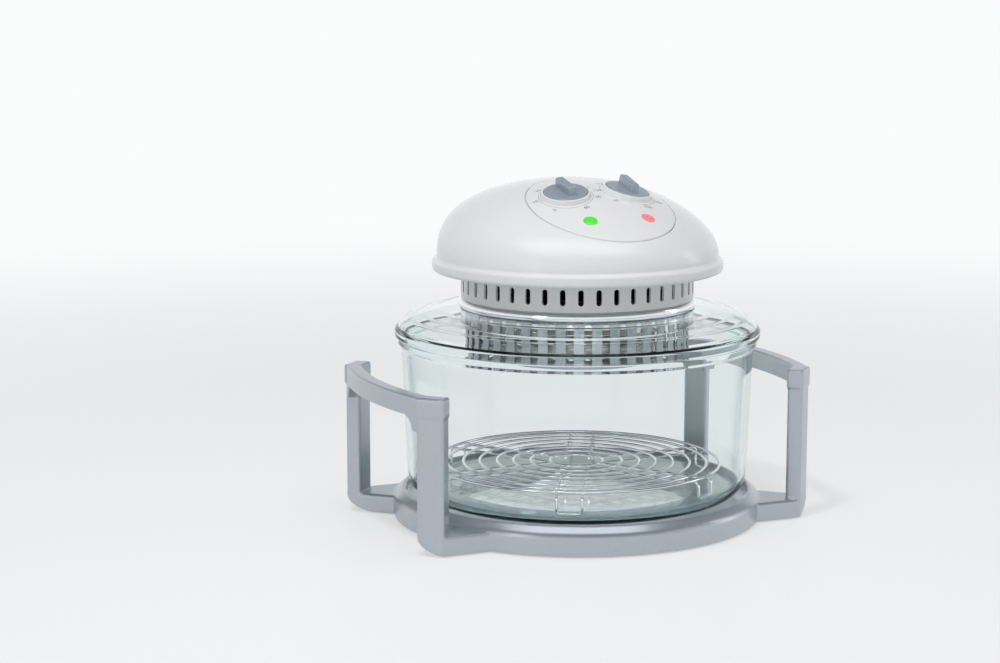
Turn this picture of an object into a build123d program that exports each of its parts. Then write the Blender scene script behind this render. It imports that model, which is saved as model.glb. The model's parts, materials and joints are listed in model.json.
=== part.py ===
from build123d import *
from math import cos, hypot, radians, sin, sqrt
import os

os.makedirs("parts", exist_ok=True)

# Halogen oven. Millimetres, +Z up, the control panel faces -Y, +X is on its right.
# The origin is the centre of the underside, on the surface that the oven stands on.

# ---- Driving sizes: stand ----
foot_drop = 1.0
foot_radius = 7.0
foot_socket_depth = 2.5
foot_edge_round = 0.8
foot_x = 162.0
foot_y = 80.0
ring_radius = 168.0
ring_hole_radius = 106.0
ring_shoulder_z = 19.5
ring_top_z = 26.5
ring_slope = 8.0
ring_lip = 3.5
ring_wall = 3.0
ring_rounds = ((0, 1.2), (1, 8.0), (2, 2.5), (3, 1.0), (5, 1.2))
ledge_z = 20.0
rib_count = 12
rib_width = 2.2
rib_low_z = 5.0
arm_top_z = 18.0
arm_outer_y = 105.0
arm_wall = 3.0
arm_reach = 85.0
arm_corner_radius = 20.0
arm_edge_round = 2.5
post_x = 179.0
post_y = 92.2
post_width = 25.0
post_depth = 14.0
post_round = 2.5
bar_top_z = 137.5
bar_height = 17.5
bar_depth = 14.0
bar_outer_x = 203.5
bar_bow_radius = 342.0
bar_bow_end_y = 88.0
bar_overhang = 0.8
bar_corner_round = 2.5
bar_joint_round = 1.0
bar_edge_round = 1.5
bar_corner_radius = 12.0
bar_corner_y = 80.0
bar_web_overlap = 3.0
tongue_angle = 28.0
tongue_width = 22.0
tongue_inner_radius = 138.0
tongue_thickness = 4.0
tongue_lift = 3.0
screw_radial = 147.0
screw_shank_radius = 1.9
screw_head_radius = 3.8
screw_head_height = 2.2
handle_screw_length = 11.0
boss_radius = 6.0

# ---- Driving sizes: bowl, pads and rack ----
pad_height = 2.0
pad_radius = 7.0
pad_count = 4
pad_circle_radius = 124.0
bowl_wall = 4.5
bowl_floor = 6.0
bowl_flat_radius = 135.0
bowl_corner_radius = 20.0
bowl_top_radius = 160.0
bowl_rim_radius = 163.0
bowl_rim_low_z = 158.0
bowl_rim_z = 166.0
bowl_rim_slope = 2.5
bowl_rim_round = 1.5
wire_radius = 1.25
rack_plane_z = 48.0
rack_ring_radii = (24.3, 42.0, 58.0, 73.0, 89.0, 104.0, 119.0, 131.0)
rack_spokes = 6
rack_spoke_phase = -28.0
rack_spoke_spacing = 22.0
weld_gap = 0.02
rack_bend = 3.5
rack_leg_radius = 134.5

# ---- Driving sizes: lid ----
lid_rim_radius = 166.0
lid_rim_height = 7.2
lid_wall = 4.0
lid_shoulder = ((162.7, 178.0), (153.6, 185.0), (142.0, 188.8), (126.0, 192.0), (109.5, 194.0))
neck_radius = 102.3
neck_low_z = 179.0
neck_roll = 5.0
lid_under_inset = 1.4
lid_under_drop = 3.76
lid_under_step = 2.0
lid_rounds = (
    (0, 2.5), (1, 2.5), (2, 9.0), (3, 14.0), (4, 30.0), (5, 40.0),
    (7, 2.2), (8, 2.2), (9, 1.2), (10, 1.2), (11, 3.0),
)

# ---- Driving sizes: head ----
cage_radius = 101.0
cage_sheet = 1.0
cage_low_z = 150.5
cage_top_z = 201.5
cage_lip = 4.0
cage_flange_radius = 89.0
cage_screw_circle = 94.0
cage_screw_count = 6
cage_screw_phase = 15.0
cage_screw_length = 5.0
cage_slots = 40
cage_slot_cut = 6.0
cage_slot_width = 7.0
cage_slot_low_z = 152.5
cage_slot_top_z = 189.0
cage_slot_phase = -2.0
guard_sheet = 1.2
guard_hole_radius = 4.2
guard_hole_rings = ((20.0, 9), (34.0, 15), (48.0, 21), (62.0, 27), (76.0, 33), (89.0, 39))
bead_radius = 4.6
bead_outer_radius = 108.3
bead_centre_z = 197.2
bead_band_low_inset = 1.2
bead_band_top_inset = 0.2
gasket_low_z = 190.8
gasket_top_z = 192.3
gasket_radius = 103.2
retainer_height = 1.6
retainer_radius = 105.6
collar_radius = 105.7
collar_wall = 2.4
collar_low_z = 201.8
collar_top_z = 226.0
collar_slots = 42
collar_slot_cut = 8.0
collar_slot_width = 4.8
collar_slot_low_z = 207.7
collar_slot_top_z = 221.7
collar_slot_phase = 2.0
collar_floor = 2.4
collar_floor_radius = 88.0
collar_flange_radius = 93.0
deck_radius = 124.0
deck_sheet = 1.6
deck_hole_radius = 34.0
deck_screw_circle = 98.5
deck_screw_length = 5.0
deck_screw_count = 4
deck_screw_phase = 20.0
head_screw_circle = 114.5
head_screw_length = 12.0
head_screw_count = 4
head_screw_phase = 45.0
head_boss_radius = 5.0
skirt_low_z = 226.3
skirt_radius = 131.9
skirt_top_z = 236.0
skirt_neck_z = 238.2
skirt_rounds = (3.5, 3.0, 2.0)
dome_radius = 127.6
dome_base_z = 240.1
dome_rise = 67.5
dome_squareness = 2.13
dome_lean = 20.8
dome_lean_power = 7.5
dome_wall = 3.4
dome_shares = (0.0, 0.12, 0.25, 0.38, 0.5, 0.62, 0.72, 0.81, 0.88, 0.935, 0.97, 0.99, 0.998)
panel_radius = 66.9
panel_y = -46.6
panel_thickness = 1.5

# ---- Driving sizes: controls ----
knob_x = 30.0
knob_y = -38.5
knob_radius = 19.5
knob_thickness = 2.6
knob_round = 0.7
fin_length = 27.0
fin_width = 7.5
fin_height = 8.8
fin_round = 1.5
bezel_rise = 0.6
bezel_rim_rise = 3.3
bezel_radius = 21.6
bezel_base_radius = 23.2
bezel_depth = 3.0
control_hub_radius = 5.0
control_hub_depth = 1.5
control_pad_radius = 15.0
control_shaft_radius = 3.0
control_shaft_inset = 5.0
control_neck_radius = 5.5
control_neck_drop = 1.5
control_shaft_end = 4.0
control_body_depth = 10.0
timer_size = 38.0
timer_height = 20.0
timer_corner_round = 3.0
thermostat_radius = 18.0
thermostat_height = 16.0
lamp_x = 28.0
lamp_y = -84.7
lamp_radius = 6.5
lamp_rise = 0.9
lamp_edge_round = 0.72
lamp_depth = 3.6
lamp_holder_radius = 7.6
lamp_holder_height = 14.0

# ---- Driving sizes: drive and heater ----
shaft_radius = 3.0
shaft_low_z = 172.0
shaft_top_z = 262.0
motor_radius = 29.0
motor_low_z = 232.0
motor_height = 28.0
motor_edge_round = 2.0
motor_screw_past = 2.0
bracket_sheet = 2.0
bracket_width = 20.0
bracket_reach = 43.0
motor_screw_reach = 49.0
bracket_foot = 12.0
bracket_hole_radius = 8.0
cooling_fan_radius = 74.0
cooling_fan_low_z = 207.0
cooling_fan_height = 10.0
cooling_blades = 10
convection_fan_radius = 60.0
convection_fan_low_z = 174.5
convection_fan_height = 10.0
convection_blades = 12
fan_sheet = 1.2
fan_hub_radius = 7.0
fan_hub_drop = 1.5
fan_hub_rise = 1.0
fan_blade_inset = 8.0
fan_blade_end = 1.0
fan_blade_turn = 18.0
reflector_z = 190.0
reflector_sheet = 0.8
reflector_skirt = 5.0
insulation_height = 6.0
insulation_radius = 88.0
insulation_hole_radius = 16.0
tube_radius = 5.0
tube_ring_radius = 76.0
tube_z = 163.0
tube_gap_angle = 34.0
tube_bend = 11.0
cap_radius = 8.0
cap_height = 12.0
clip_width = 6.0
clip_sheet = 0.8
clip_angles = (45.0, 135.0, 270.0)
sensor_angle = 200.0
sensor_circle = 92.5
sensor_radius = 2.5
sensor_low_z = 168.0
sensor_top_z = 197.5
bush_radius = 6.0
bush_flange_radius = 9.0
bush_low_z = 186.0
bush_top_z = 196.0
bush_flange = 1.5
inlet_width = 24.0
inlet_height = 14.0
inlet_depth = 18.0
inlet_back_y = 127.5
inlet_pin_radius = 1.2
inlet_pin_spacing = 8.6
inlet_recess = 11.0
inlet_z = 252.0
terminal_length = 32.0
terminal_width = 14.0
terminal_height = 12.0
terminal_x = 62.0
terminal_y = 55.0
terminal_ways = 4
terminal_way_radius = 2.2

# ---- Named clearances ----
seat_gap = 0.1          # a piece lifted off rests this far over its seat
fit_gap = 0.3           # between fixed neighbours with curved faces
run_gap = 0.05          # radial, on shafts that turn
screw_gap = 0.05        # radial, around a screw's shank
slip_gap = 0.6          # a turning disc over its seat
recess_gap = 0.5        # around a turning disc in its recess
cut_past = 1.0          # how far a cutter runs past a face
overlap = 0.5           # how far a joined shape runs into its neighbour
through = 400.0         # a cutter that runs through the whole oven


# ---- Shared shapes ----
def rod(radius, low, high, x=0.0, y=0.0):
    """A round bar between two heights."""
    return Pos(x, y, (low + high) / 2) * Cylinder(radius, high - low)


def tube(outer, inner, low, high, x=0.0, y=0.0):
    """A round tube between two heights."""
    return rod(outer, low, high, x, y) - rod(inner, low - cut_past, high + cut_past, x, y)


def turned(points, rounds=()):
    """A solid turned about Z from (radius, height) corners. rounds holds (corner, radius) pairs."""
    face = make_face(Polyline(*points, close=True))
    for corner, radius in rounds:
        nearest = face.vertices().sort_by_distance((*points[corner], 0))[0]
        face = fillet(nearest, radius)
    return revolve(Plane.XZ * face, Axis.Z)


def around(count, phase=0.0):
    """Turns about Z, evenly spaced, counted from +X."""
    return [Rot(0, 0, phase + 360 * i / count) for i in range(count)]


def four_corners(x, y):
    """The same place in each of the four quadrants."""
    return [(sx * x, sy * y) for sx in (1, -1) for sy in (1, -1)]


def obround(width, low, high, radius, depth):
    """A cutter with round ends, standing on the +X side at the given radius."""
    outline = SlotOverall(high - low, width, rotation=90)
    middle = Plane.YZ.offset(radius) * Pos(0, (low + high) / 2) * outline
    return extrude(middle, amount=depth / 2, both=True)


def screw(x, y, under_head_z, length, turn=1):
    """A pan-head screw on a vertical line. With turn 1 it points up, with turn -1 down."""
    shank_end = under_head_z + turn * length
    head_end = under_head_z - turn * screw_head_height
    shank = rod(screw_shank_radius, min(under_head_z, shank_end), max(under_head_z, shank_end), x, y)
    head = rod(screw_head_radius, min(under_head_z, head_end), max(under_head_z, head_end), x, y)
    return head + shank


def screw_hole(x, y, low, high):
    """The clear hole for a screw's shank."""
    return rod(screw_shank_radius + screw_gap, low, high, x, y)


# ---- Stand ----
ring_low_z = foot_drop
tongue_low_z = ring_low_z + tongue_lift
tongue_top_z = tongue_low_z + tongue_thickness
screw_x = screw_radial * cos(radians(tongue_angle))
screw_y = screw_radial * sin(radians(tongue_angle))


def tongue(clearance=0.0):
    """The flat tab of an arm that reaches under the ring, at +X +Y."""
    outer_radius = hypot(foot_x, foot_y)
    length = outer_radius - tongue_inner_radius + clearance
    middle = outer_radius - length / 2
    height = tongue_thickness + 2 * clearance
    block = Box(length, tongue_width + 2 * clearance, height)
    return Rot(0, 0, tongue_angle) * Pos(middle, 0, tongue_low_z + tongue_thickness / 2) * block


def mirrored_corners(shape):
    """The shape at +X +Y and its mirror images in the other three quadrants."""
    pair = [shape, shape.mirror(Plane.XZ)]
    return pair + [piece.mirror(Plane.YZ) for piece in pair]


def stand_ring():
    lip_inner = ring_radius - ring_slope - ring_lip
    deck_low = ledge_z - ring_wall
    inner_skirt = ring_hole_radius + ring_wall
    outer_skirt = ring_radius - ring_wall
    profile = [
        (ring_radius, ring_low_z),
        (ring_radius, ring_shoulder_z),
        (ring_radius - ring_slope, ring_top_z),
        (lip_inner, ring_top_z),
        (lip_inner, ledge_z),
        (ring_hole_radius, ledge_z),
        (ring_hole_radius, ring_low_z),
        (inner_skirt, ring_low_z),
        (inner_skirt, deck_low),
        (outer_skirt, deck_low),
        (outer_skirt, ring_low_z),
    ]
    ring = turned(profile, ring_rounds)
    web = Pos((inner_skirt + outer_skirt) / 2, 0, (rib_low_z + deck_low) / 2) * Box(
        outer_skirt - inner_skirt + 2 * overlap, rib_width, deck_low - rib_low_z + 2 * overlap
    )
    for turn in around(rib_count, 0.0):
        ring += turn * web
    for x, y in four_corners(screw_x, screw_y):
        ring += rod(boss_radius, tongue_top_z, deck_low + overlap, x, y)
        ring -= screw_hole(x, y, tongue_top_z - cut_past, deck_low - cut_past)
    for room in mirrored_corners(tongue(fit_gap)):
        ring -= room
    return ring


def arm_plan():
    """The arm from above, at +X +Y. Its end runs on inside the ring's circle."""
    out_x = cos(radians(45))
    out_y = sin(radians(45))
    face_reach = post_x * out_x + post_y * out_y + post_depth / 2
    corner_x = (face_reach - arm_outer_y * out_y) / out_x
    end_x = post_x + out_x * post_depth / 2 + out_y * post_width / 2
    end_y = post_y + out_y * post_depth / 2 - out_x * post_width / 2
    return make_face(
        Polyline(
            (corner_x - arm_reach, arm_outer_y),
            (corner_x, arm_outer_y),
            (end_x, end_y),
            (end_x - out_x * arm_reach, end_y - out_y * arm_reach),
            close=True,
        )
    )


def facing_corner(outline):
    """An outline moved to the post at +X +Y and turned to face the corner."""
    return Pos(post_x, post_y) * Rot(0, 0, 45) * outline


def arm_and_post():
    """One arm with its post, at +X +Y."""
    bar_low_z = bar_top_z - bar_height
    inside_ring = rod(ring_radius + fit_gap / 2, 0, through)
    arm = extrude(Pos(0, 0, ring_low_z) * arm_plan(), amount=arm_top_z - ring_low_z)
    arm = arm - inside_ring
    outer_x = arm.bounding_box().max.X
    top_edges = arm.edges().filter_by(Axis.Z, reverse=True).group_by(Axis.Z)[-1]
    long_edges = top_edges.filter_by(GeomType.LINE).sort_by(Edge.length)[1:]
    arm = fillet(long_edges, arm_edge_round)
    post_outline = facing_corner(RectangleRounded(post_depth, post_width, post_round))
    post = extrude(Pos(0, 0, ring_low_z) * post_outline, amount=bar_low_z - ring_low_z)
    solid = arm + post
    side = make_face(
        Polyline((outer_x, ring_low_z), (outer_x, bar_top_z), (0, bar_top_z), (0, ring_low_z), close=True)
    )
    side = fillet(side.vertices().sort_by_distance((outer_x, ring_low_z, 0))[0], arm_corner_radius)
    solid = solid & extrude(Plane.XZ * side, amount=2 * ring_radius, both=True)
    hollow_plan = offset(arm_plan(), amount=-arm_wall)
    flat_reach = outer_x - arm_corner_radius
    hollow_plan = hollow_plan & Pos(flat_reach - through / 2, 0) * Rectangle(through, through)
    hollow = extrude(hollow_plan, amount=arm_top_z - arm_wall)
    foot_boss = rod(foot_radius + arm_wall, ring_low_z, arm_top_z - arm_wall + overlap, foot_x, foot_y)
    solid = solid - (hollow - foot_boss)
    solid = solid + (tongue() - rod(foot_radius, 0, ring_top_z, foot_x, foot_y))
    socket_top = ring_low_z + foot_socket_depth
    solid -= rod(foot_radius + fit_gap / 2, 0, socket_top, foot_x, foot_y)
    return solid - screw_hole(screw_x, screw_y, 0, ring_top_z)


def bar():
    """The grip bar of the handle on the +X side."""
    bow_x = bar_outer_x - bar_bow_radius
    bow = Pos(bow_x, 0) * (Circle(bar_bow_radius) - Circle(bar_bow_radius - bar_depth))
    bow = bow & (Pos(bar_outer_x, 0) * Rectangle(bar_bow_end_y, 2 * bar_bow_end_y))
    head = facing_corner(Rectangle(post_depth + 2 * bar_overhang, post_width + 2 * bar_overhang))
    plan = bow + head + head.mirror(Plane.XZ)
    joints = [v for v in plan.vertices() if abs(v.Y) <= post_y]
    plan = fillet(joints, bar_joint_round)
    free_corners = [v for v in plan.vertices() if abs(v.Y) > post_y]
    plan = fillet(free_corners, bar_corner_round)
    grip = extrude(Pos(0, 0, bar_top_z - bar_height) * plan, amount=bar_height)
    rims = grip.edges().filter_by(Axis.Z, reverse=True)
    grip = fillet(rims, bar_edge_round)
    window_z = bar_top_z - bar_height - bar_corner_radius
    web = extrude(Pos(0, 0, window_z) * bow, amount=bar_corner_radius + bar_web_overlap)
    web_y = bar_corner_y - bar_corner_radius
    window = Box(through, 2 * web_y, 2 * bar_corner_radius)
    web -= Pos(bar_outer_x, 0, window_z) * window
    for side in (1, -1):
        cut = Rot(0, 90, 0) * Cylinder(bar_corner_radius, through)
        web -= Pos(bar_outer_x, side * web_y, window_z) * cut
    return grip, web


def handle_right():
    quarter = arm_and_post()
    grip, web = bar()
    return quarter + quarter.mirror(Plane.XZ) + grip + web


# ---- Bowl and rack ----
bowl_low_z = ledge_z + pad_height + seat_gap
bowl_floor_z = bowl_low_z + bowl_floor


def glass_bowl():
    corner_z = bowl_low_z + bowl_corner_radius
    side_x = bowl_flat_radius + bowl_corner_radius
    inner_corner = bowl_corner_radius - bowl_wall
    outline = [
        Line((0, bowl_low_z), (bowl_flat_radius, bowl_low_z)),
        RadiusArc((bowl_flat_radius, bowl_low_z), (side_x, corner_z), -bowl_corner_radius),
        Line((side_x, corner_z), (bowl_top_radius, bowl_rim_low_z)),
        Line((bowl_top_radius, bowl_rim_low_z), (bowl_rim_radius, bowl_rim_low_z + bowl_rim_slope)),
        Line((bowl_rim_radius, bowl_rim_low_z + bowl_rim_slope), (bowl_rim_radius, bowl_rim_z)),
        Line((bowl_rim_radius, bowl_rim_z), (bowl_top_radius - bowl_wall, bowl_rim_z)),
        Line((bowl_top_radius - bowl_wall, bowl_rim_z), (side_x - bowl_wall, bowl_floor_z + inner_corner)),
        RadiusArc(
            (side_x - bowl_wall, bowl_floor_z + inner_corner),
            (side_x - bowl_wall - inner_corner, bowl_floor_z),
            inner_corner,
        ),
        Line((side_x - bowl_wall - inner_corner, bowl_floor_z), (0, bowl_floor_z)),
        Line((0, bowl_floor_z), (0, bowl_low_z)),
    ]
    bowl = revolve(Plane.XZ * make_face(outline), Axis.Z)
    rim = bowl.edges().filter_by(GeomType.CIRCLE)
    rim = [edge for edge in rim if edge.center().Z > bowl_rim_z - seat_gap]
    return fillet(rim, bowl_rim_round)


def rack_rings():
    """The rack's round wires, resting on its spokes."""
    ring_z = rack_plane_z + wire_radius
    return Compound([Pos(0, 0, ring_z) * Torus(radius, wire_radius) for radius in rack_ring_radii])


def rack_legs():
    """The bent wires: each is a pair of spokes, two legs and the foot between them."""
    foot_z = bowl_floor_z + wire_radius + fit_gap
    spoke_z = rack_plane_z - wire_radius - weld_gap
    half = rack_spoke_spacing / 2
    inner_x = sqrt(rack_ring_radii[0] ** 2 - half**2) - wire_radius
    route = FilletPolyline(
        (inner_x, -half, spoke_z),
        (rack_leg_radius, -half, spoke_z),
        (rack_leg_radius, -half, foot_z),
        (rack_leg_radius, half, foot_z),
        (rack_leg_radius, half, spoke_z),
        (inner_x, half, spoke_z),
        radius=rack_bend,
    )
    section = Plane((inner_x, -half, spoke_z), z_dir=(1, 0, 0)) * Circle(wire_radius)
    wire = sweep(section, path=route)
    return Compound([turn * wire for turn in around(rack_spokes, rack_spoke_phase - 90)])


# ---- Lid ----
lid_low_z = bowl_rim_z + seat_gap


def glass_lid():
    rim_inner = lid_rim_radius - 2 * lid_wall
    outer = list(lid_shoulder)
    rise = [(radius - lid_under_inset, z - lid_under_drop) for radius, z in reversed(outer[1:])]
    roll_x = neck_radius + neck_roll
    top_z = outer[-1][1]
    profile = [
        (lid_rim_radius, lid_low_z),
        (lid_rim_radius, lid_low_z + lid_rim_height),
        *outer,
        (roll_x, top_z),
        (neck_radius, top_z - neck_roll),
        (neck_radius, neck_low_z),
        (neck_radius + lid_wall, neck_low_z),
        (neck_radius + lid_wall, top_z - neck_roll - cut_past),
        *rise,
        (outer[0][0] - lid_wall, outer[0][1] - cut_past),
        (rim_inner, lid_low_z + lid_rim_height - lid_under_step),
        (rim_inner, lid_low_z),
    ]
    return turned(profile, lid_rounds)


# ---- Head: neck, cage and collar ----
bead_low_z = bead_centre_z - bead_radius
bead_top_z = bead_centre_z + bead_radius
bead_circle = bead_outer_radius - bead_radius


def clamp_ring():
    """The round bead that the glass neck hangs from."""
    bead = Pos(0, 0, bead_centre_z) * Torus(bead_circle, bead_radius)
    inner = cage_radius + fit_gap
    band_low_z = bead_low_z + bead_band_low_inset
    band_top_z = bead_top_z - bead_band_top_inset
    band = tube(bead_circle + cut_past, inner - cut_past, band_low_z, band_top_z)
    return bead + band - rod(inner, 0, through)


def retaining_ring():
    """The thin ring under the glass neck that holds the glass to the cage."""
    top_z = neck_low_z - seat_gap
    return tube(retainer_radius, cage_radius + run_gap, top_z - retainer_height, top_z)


def neck_gasket():
    return tube(gasket_radius, cage_radius + seat_gap, gasket_low_z, gasket_top_z)


def cage_screw_places():
    """Where the cage's flange is screwed to the collar's floor."""
    return [turn * Pos(cage_screw_circle, 0, 0) for turn in around(cage_screw_count, cage_screw_phase)]


def heater_cage():
    cage = tube(cage_radius, cage_radius - cage_sheet, cage_low_z, cage_top_z)
    cage += tube(cage_radius, cage_radius - cage_lip, cage_low_z, cage_low_z + cage_sheet)
    cage += tube(cage_radius, cage_flange_radius, cage_top_z - cage_sheet, cage_top_z)
    slot = obround(cage_slot_width, cage_slot_low_z, cage_slot_top_z, cage_radius, cage_slot_cut)
    cage -= [turn * slot for turn in around(cage_slots, cage_slot_phase - 90)]
    hole = screw_hole(0, 0, cage_top_z - 2 * cage_sheet, cage_top_z + cut_past)
    return cage - [place * hole for place in cage_screw_places()]


def cage_screws():
    piece = screw(0, 0, cage_top_z - cage_sheet, cage_screw_length)
    return Compound([place * piece for place in cage_screw_places()])


def bottom_guard():
    low_z = cage_low_z + cage_sheet + run_gap
    guard = rod(cage_radius - cage_sheet - fit_gap, low_z, low_z + guard_sheet)
    hole = rod(guard_hole_radius, low_z - cut_past, low_z + guard_sheet + cut_past)
    holes = [hole]
    for radius, count in guard_hole_rings:
        holes += [turn * Pos(radius, 0, 0) * hole for turn in around(count)]
    return guard - holes


def vent_collar():
    inner = collar_radius - collar_wall
    collar = tube(collar_radius, inner, collar_low_z, collar_top_z)
    collar += tube(inner + overlap, collar_floor_radius, collar_low_z, collar_low_z + collar_floor)
    collar += tube(inner + overlap, collar_flange_radius, collar_top_z - collar_floor, collar_top_z)
    slot = obround(collar_slot_width, collar_slot_low_z, collar_slot_top_z, collar_radius, collar_slot_cut)
    collar -= [turn * slot for turn in around(collar_slots, collar_slot_phase - 90)]
    low_hole = screw_hole(0, 0, collar_low_z - cut_past, collar_low_z + collar_floor + cut_past)
    collar -= [place * low_hole for place in cage_screw_places()]
    high_hole = screw_hole(0, 0, collar_top_z - collar_floor - cut_past, collar_top_z + cut_past)
    return collar - [place * high_hole for place in deck_screw_places()]


# ---- Head: deck and dome ----
deck_low_z = collar_top_z + run_gap
deck_top_z = deck_low_z + deck_sheet


def deck_screw_places():
    """Where the deck is screwed down to the collar."""
    return [turn * Pos(deck_screw_circle, 0, 0) for turn in around(deck_screw_count, deck_screw_phase)]


def head_screw_places():
    """Where the deck is screwed up into the dome's bosses."""
    return [turn * Pos(head_screw_circle, 0, 0) for turn in around(head_screw_count, head_screw_phase)]


def bracket_screw_places():
    """Where the motor's bracket is screwed to the deck."""
    return [Pos(side * motor_screw_reach, 0, 0) for side in (1, -1)]


def mounting_deck():
    deck = rod(deck_radius, deck_low_z, deck_top_z) - rod(deck_hole_radius, 0, through)
    hole = screw_hole(0, 0, deck_low_z - cut_past, deck_top_z + cut_past)
    places = deck_screw_places() + head_screw_places() + bracket_screw_places()
    return deck - [place * hole for place in places]


def collar_screws():
    piece = screw(0, 0, deck_top_z, deck_screw_length, turn=-1)
    return Compound([place * piece for place in deck_screw_places()])


def head_screws():
    piece = screw(0, 0, deck_low_z, head_screw_length)
    return Compound([place * piece for place in head_screw_places()])


def dome_level(share, inset):
    """Height, radius and backward shift of the dome's circle at a share of its rise."""
    height = dome_base_z + (dome_rise - inset) * share
    share_radius = sqrt(1 - share**dome_squareness)
    shift = dome_lean * (1 - share_radius**dome_lean_power)
    return height, (dome_radius - inset) * share_radius, shift


def dome_solid(inset=0.0):
    """The dome above its base, filled. inset draws its skin inwards."""
    circles = []
    for share in dome_shares:
        height, radius, shift = dome_level(share, inset)
        circles.append(Pos(0, shift, height) * Circle(radius))
    return loft(circles)


def dome_height(x, y):
    """The height of the dome's skin over a point of the plan, by halving."""
    low = 0.0
    high = 1.0
    for _ in range(50):
        share = (low + high) / 2
        height, radius, shift = dome_level(share, 0.0)
        if hypot(x, y - shift) < radius:
            low = share
        else:
            high = share
    return height


def dome_seat(x, y):
    """The plane that touches the dome's skin over a point of the plan."""
    step = 0.5
    slope_x = (dome_height(x + step, y) - dome_height(x - step, y)) / (2 * step)
    slope_y = (dome_height(x, y + step) - dome_height(x, y - step)) / (2 * step)
    return Plane(origin=(x, y, dome_height(x, y)), x_dir=(1, 0, slope_x), z_dir=(-slope_x, -slope_y, 1))


timer_seat = dome_seat(-knob_x, knob_y)
thermostat_seat = dome_seat(knob_x, knob_y)
power_lamp_seat = dome_seat(-lamp_x, lamp_y)
heat_lamp_seat = dome_seat(lamp_x, lamp_y)
knob_seats = (timer_seat, thermostat_seat)
lamp_seats = (power_lamp_seat, heat_lamp_seat)


def panel_area(radius):
    """A tall cylinder round the control panel's place in the plan."""
    return rod(radius, dome_base_z, dome_base_z + 2 * dome_rise, 0, panel_y)


def control_holes():
    """Cutters for the knobs' necks and the lamps, through the panel and the dome."""
    past = 2 * control_body_depth
    necks = [seat * rod(control_neck_radius + fit_gap, -past, past) for seat in knob_seats]
    lamps = [seat * rod(lamp_radius + seat_gap, -past, past) for seat in lamp_seats]
    return necks + lamps


def dome_cover():
    inner_radius = dome_radius - dome_wall
    skirt = turned(
        [
            (inner_radius, skirt_low_z),
            (skirt_radius, skirt_low_z),
            (skirt_radius, skirt_top_z),
            (dome_radius, skirt_neck_z),
            (dome_radius, dome_base_z),
            (inner_radius, dome_base_z),
        ],
        [(corner + 1, radius) for corner, radius in enumerate(skirt_rounds)],
    )
    skin = dome_solid()
    cover = skin - dome_solid(dome_wall) + skirt
    boss = rod(head_boss_radius, deck_top_z + seat_gap, dome_base_z + dome_rise)
    bosses = [place * boss for place in head_screw_places()]
    pads = [seat * rod(control_pad_radius, seat_gap - control_body_depth, 0) for seat in knob_seats]
    inside = dome_solid(dome_wall - overlap) + rod(inner_radius + overlap, skirt_low_z, dome_base_z)
    for piece in bosses + pads:
        cover += piece & inside
    pocket = panel_area(panel_radius) & (skin - dome_solid(panel_thickness))
    cover -= pocket
    cover -= control_holes()
    pilot = screw_hole(0, 0, deck_top_z - cut_past, deck_top_z + head_screw_length)
    cover -= [place * pilot for place in head_screw_places()]
    return cover - Pos(0, inlet_back_y, inlet_z) * Box(
        inlet_width + 2 * seat_gap, 2 * inlet_depth, inlet_height + 2 * seat_gap
    )


def control_panel():
    skin = dome_solid()
    recess = rod(knob_radius + recess_gap, bezel_rise, 2 * bezel_rim_rise)
    for seat in knob_seats:
        bezel = Cone(bezel_base_radius, bezel_radius, bezel_rim_rise + bezel_depth)
        skin += seat * Pos(0, 0, (bezel_rim_rise - bezel_depth) / 2) * bezel
    plate = (skin & panel_area(panel_radius - fit_gap)) - dome_solid(panel_thickness - run_gap)
    return plate - control_holes() - [seat * recess for seat in knob_seats]


# ---- Controls ----
knob_low = bezel_rise + slip_gap
knob_top = knob_low + knob_thickness
shaft_tip = knob_top + control_shaft_inset


def control_knob():
    """A round knob with a wing grip, in its seat's frame."""
    disc = rod(knob_radius, knob_low, knob_top)
    disc = fillet(disc.edges().group_by(Axis.Z)[-1], knob_round)
    fin = Box(fin_width, fin_length, fin_height + 2 * overlap)
    fin = Pos(0, 0, knob_top + fin_height / 2 - overlap) * fin
    fin = fillet(fin.edges().group_by(Axis.Z)[-1], fin_round)
    hub = rod(control_hub_radius, -control_hub_depth, knob_low + overlap)
    bore = rod(control_shaft_radius + screw_gap, -2 * control_hub_depth, shaft_tip + screw_gap)
    return disc + fin + hub - bore


def control_shaft(body_height):
    """The turning spindle, in its seat's frame."""
    return rod(control_shaft_radius, -control_body_depth - body_height + control_shaft_end, shaft_tip)


def control_body(block):
    """A mechanism's casing with its neck, bored for the spindle, in its seat's frame."""
    neck = rod(control_neck_radius, -control_body_depth - overlap, -control_hub_depth - control_neck_drop)
    return block + neck - rod(control_shaft_radius + run_gap, -through, through)


def timer_mechanism():
    block = Box(timer_size, timer_size, timer_height)
    block = fillet(block.edges().filter_by(Axis.Z), timer_corner_round)
    return timer_seat * control_body(Pos(0, 0, -control_body_depth - timer_height / 2) * block)


def thermostat():
    low = -control_body_depth - thermostat_height
    return thermostat_seat * control_body(rod(thermostat_radius, low, -control_body_depth))


def lens():
    """A lamp's lens, in its seat's frame."""
    body = rod(lamp_radius, -lamp_depth, lamp_rise)
    return fillet(body.edges().group_by(Axis.Z)[-1], lamp_edge_round)


def lamp_holders():
    top = -lamp_depth - 2 * fit_gap
    return Compound([seat * rod(lamp_holder_radius, top - lamp_holder_height, top) for seat in lamp_seats])


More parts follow.
